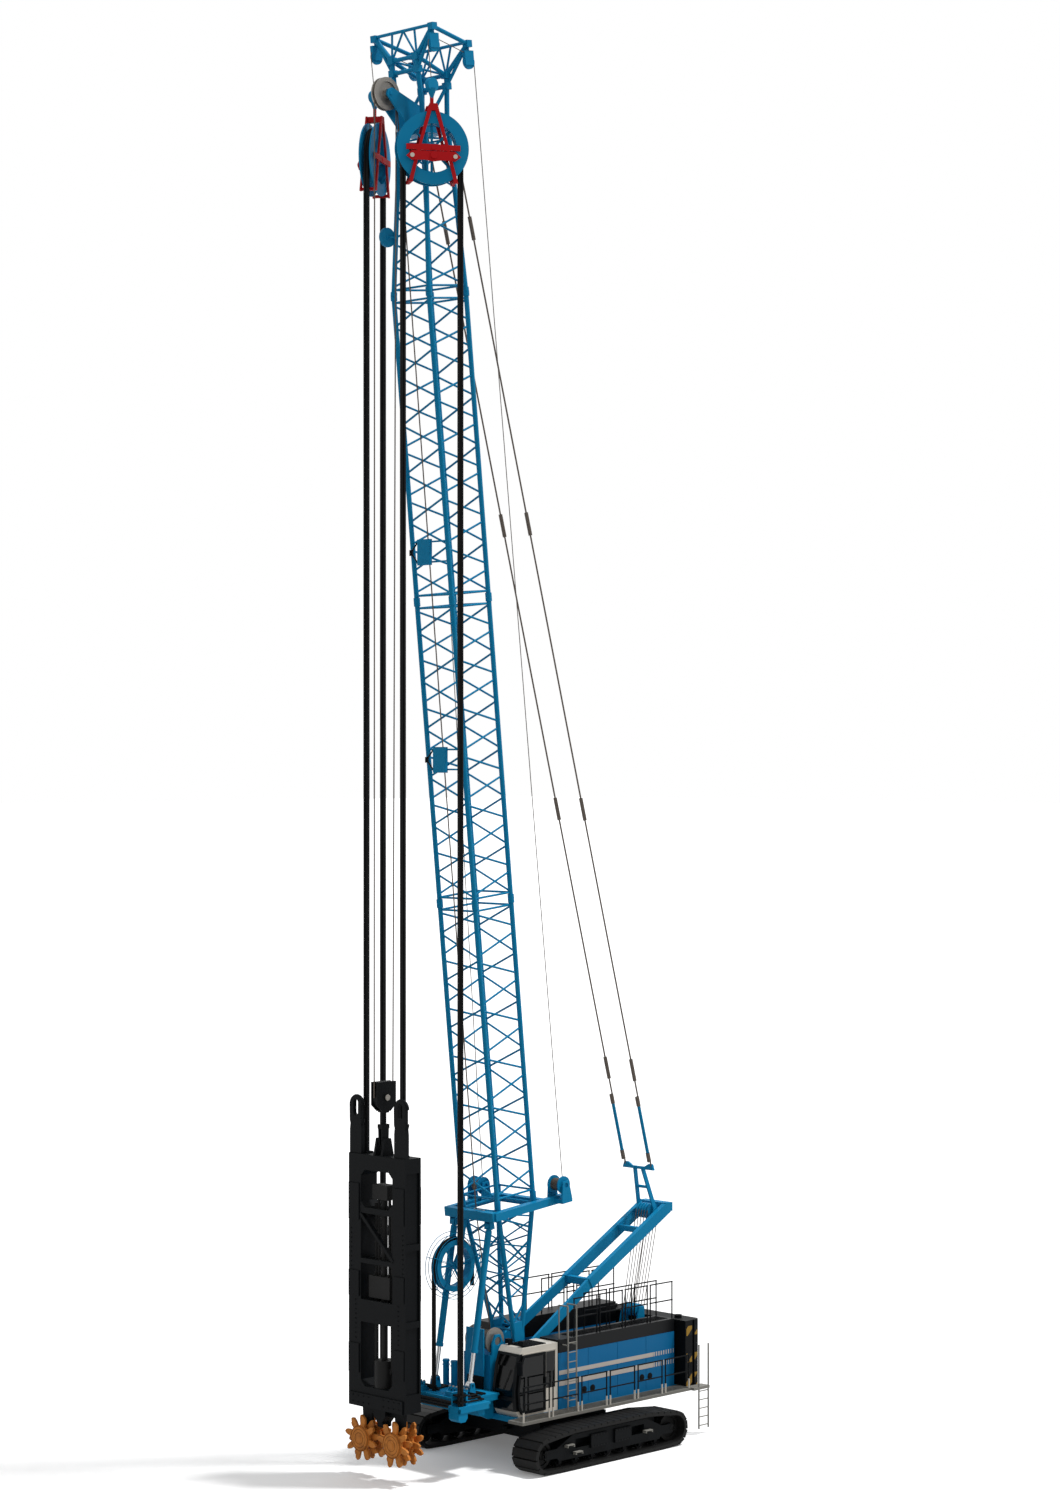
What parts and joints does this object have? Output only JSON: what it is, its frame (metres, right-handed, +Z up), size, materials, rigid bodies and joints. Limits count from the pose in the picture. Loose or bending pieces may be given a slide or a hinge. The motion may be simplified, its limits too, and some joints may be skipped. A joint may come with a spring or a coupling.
{
  "type": "trench cutter rig",
  "caption": "Crawler crane with lattice boom, live mast and hose wheels that carries a hanging trench cutter with two toothed drums for digging diaphragm walls",
  "frame": {"origin": "on the ground at the centre of the machine's box, midway between the tracks", "axes": "+X forward to the cutter, +Y to the cab side, +Z up"},
  "size_m": [11.502, 5.68, 39.8671],
  "materials": {
    "blue_paint": "gloss paint",
    "black_paint": "satin paint",
    "grey_paint": "satin paint",
    "white_paint": "gloss paint",
    "red_paint": "gloss paint",
    "drum_paint": "worn paint",
    "dark_steel": "worn steel",
    "rope_steel": "greased rope",
    "chrome": "polished",
    "hose_rubber": "matte",
    "seat_fabric": "woven",
    "glass": "tinted"
  },
  "bodies": {
    "undercarriage": {"carbody": "black_paint", "crawler_frame_left": "black_paint", "crawler_frame_right": "black_paint", "track_left": "dark_steel", "track_right": "dark_steel", "track_end_wheels": "dark_steel"},
    "upper": {"upper_frame": "blue_paint", "counterweight": "black_paint", "house_left": "blue_paint", "house_right": "blue_paint", "engine_block": "dark_steel", "cab_shell": "white_paint", "cab_glass": "glass", "cab_seat": "seat_fabric", "walkways": "grey_paint", "handrails": "black_paint", "roof_rails": "black_paint", "ladders": "grey_paint", "front_platform": "blue_paint"},
    "door": {"cab_door": "black_paint", "cab_door_glass": "glass"},
    "main_winch": {"main_winch_drum": "grey_paint"},
    "boom": {"boom_foot": "blue_paint", "boom_section_1": "blue_paint", "boom_section_2": "blue_paint", "boom_section_3": "blue_paint", "boom_top": "blue_paint", "head_frame": "blue_paint", "winch_frame": "blue_paint", "pendants": "rope_steel", "bridle": "blue_paint", "guide_hose": "hose_rubber", "hoses_back": "hose_rubber"},
    "gantry": {"gantry": "blue_paint"},
    "head_sheave": {"head_sheave": "grey_paint"},
    "winch_left": {"winch_drum_left": "blue_paint"},
    "winch_right": {"winch_drum_right": "blue_paint"},
    "guide_wheel": {"guide_wheel": "blue_paint"},
    "strut_barrels": {"strut_barrels": "blue_paint"},
    "strut_rods": {"strut_rods": "chrome"},
    "hanging_train": {"wheel_hangers": "red_paint", "hoses_front": "hose_rubber"},
    "hose_wheel_left": {"hose_wheel_left": "blue_paint"},
    "hose_wheel_right": {"hose_wheel_right": "blue_paint"},
    "cutter": {"hook_block": "black_paint", "cutter_frame": "black_paint", "cutter_pump": "dark_steel", "cutter_gearbox": "black_paint"},
    "drum_left": {"cutting_drum_left": "drum_paint"},
    "drum_right": {"cutting_drum_right": "drum_paint"}
  },
  "joints": [
    {"name": "slew", "type": "hinge", "parent": "undercarriage", "child": "upper", "pos_m": [-0.76, 0, 1.25], "axis": [0, 0, 1], "continuous": true},
    {"name": "boom_luff", "type": "hinge", "parent": "upper", "child": "boom", "pos_m": [0.57, 0, 2.9], "axis": [0, 1, 0], "range_deg": [-2.5, 18], "deforming": ["hoses_back", "guide_hose"]},
    {"name": "gantry_luff", "type": "hinge", "parent": "upper", "child": "gantry", "pos_m": [0.57, 0, 2.9], "axis": [0, 1, 0], "range_deg": [-2.7, 18.2]},
    {"name": "strut_swing", "type": "hinge", "parent": "boom", "child": "strut_barrels", "pos_m": [2.04, 0, 6.68], "axis": [0, 1, 0], "range_deg": [-5, 2]},
    {"name": "strut_slide", "type": "slide", "parent": "strut_barrels", "child": "strut_rods", "axis": [0.1699, 0, -0.9855], "range_m": [-0.75, 0.15]},
    {"name": "train_plumb", "type": "hinge", "parent": "boom", "child": "hanging_train", "pos_m": [5.33, 0, 37.97], "axis": [0, 1, 0], "range_deg": [-18.2, 2.7]},
    {"name": "cutter_hoist", "type": "slide", "parent": "hanging_train", "child": "cutter", "axis": [0, 0, 1], "range_m": [-12, 0], "deforming": ["hoses_front"]},
    {"name": "drum_left_spin", "type": "hinge", "parent": "cutter", "child": "drum_left", "pos_m": [5.36, 0.65, 1.1], "axis": [1, 0, 0], "continuous": true},
    {"name": "drum_right_spin", "type": "hinge", "parent": "cutter", "child": "drum_right", "pos_m": [5.36, -0.65, 1.1], "axis": [1, 0, 0], "continuous": true},
    {"name": "hose_wheel_left_spin", "type": "hinge", "parent": "hanging_train", "child": "hose_wheel_left", "pos_m": [4.675, 1.155, 36.4], "axis": [-0.5182, -0.8553, 0], "continuous": true},
    {"name": "hose_wheel_right_spin", "type": "hinge", "parent": "hanging_train", "child": "hose_wheel_right", "pos_m": [4.675, -1.155, 36.4], "axis": [-0.5182, 0.8553, 0], "continuous": true},
    {"name": "head_sheave_spin", "type": "hinge", "parent": "boom", "child": "head_sheave", "pos_m": [5.33, 0, 37.97], "axis": [0, 1, 0], "continuous": true},
    {"name": "guide_wheel_spin", "type": "hinge", "parent": "boom", "child": "guide_wheel", "pos_m": [2.39, -0.4, 5.5], "axis": [0, 1, 0], "continuous": true},
    {"name": "winch_left_spin", "type": "hinge", "parent": "boom", "child": "winch_left", "pos_m": [-0.3641, 1.06, 7.6519], "axis": [0, 1, 0], "continuous": true},
    {"name": "winch_right_spin", "type": "hinge", "parent": "boom", "child": "winch_right", "pos_m": [0.7499, -1.06, 7.5362], "axis": [0, 1, 0], "continuous": true},
    {"name": "main_winch_spin", "type": "hinge", "parent": "upper", "child": "main_winch", "pos_m": [1.55, 0, 3.38], "axis": [0, 1, 0], "continuous": true},
    {"name": "door_slide", "type": "slide", "parent": "upper", "child": "door", "axis": [-1, 0, 0], "range_m": [0, 0.7]}
  ],
  "couplings": [
    {"joint": "gantry_luff", "follows": "boom_luff", "ratio": 1},
    {"joint": "strut_swing", "follows": "boom_luff", "ratio": -0.168},
    {"joint": "strut_slide", "follows": "boom_luff", "m_per_rad": -2.17},
    {"joint": "train_plumb", "follows": "boom_luff", "ratio": -1}
  ]
}
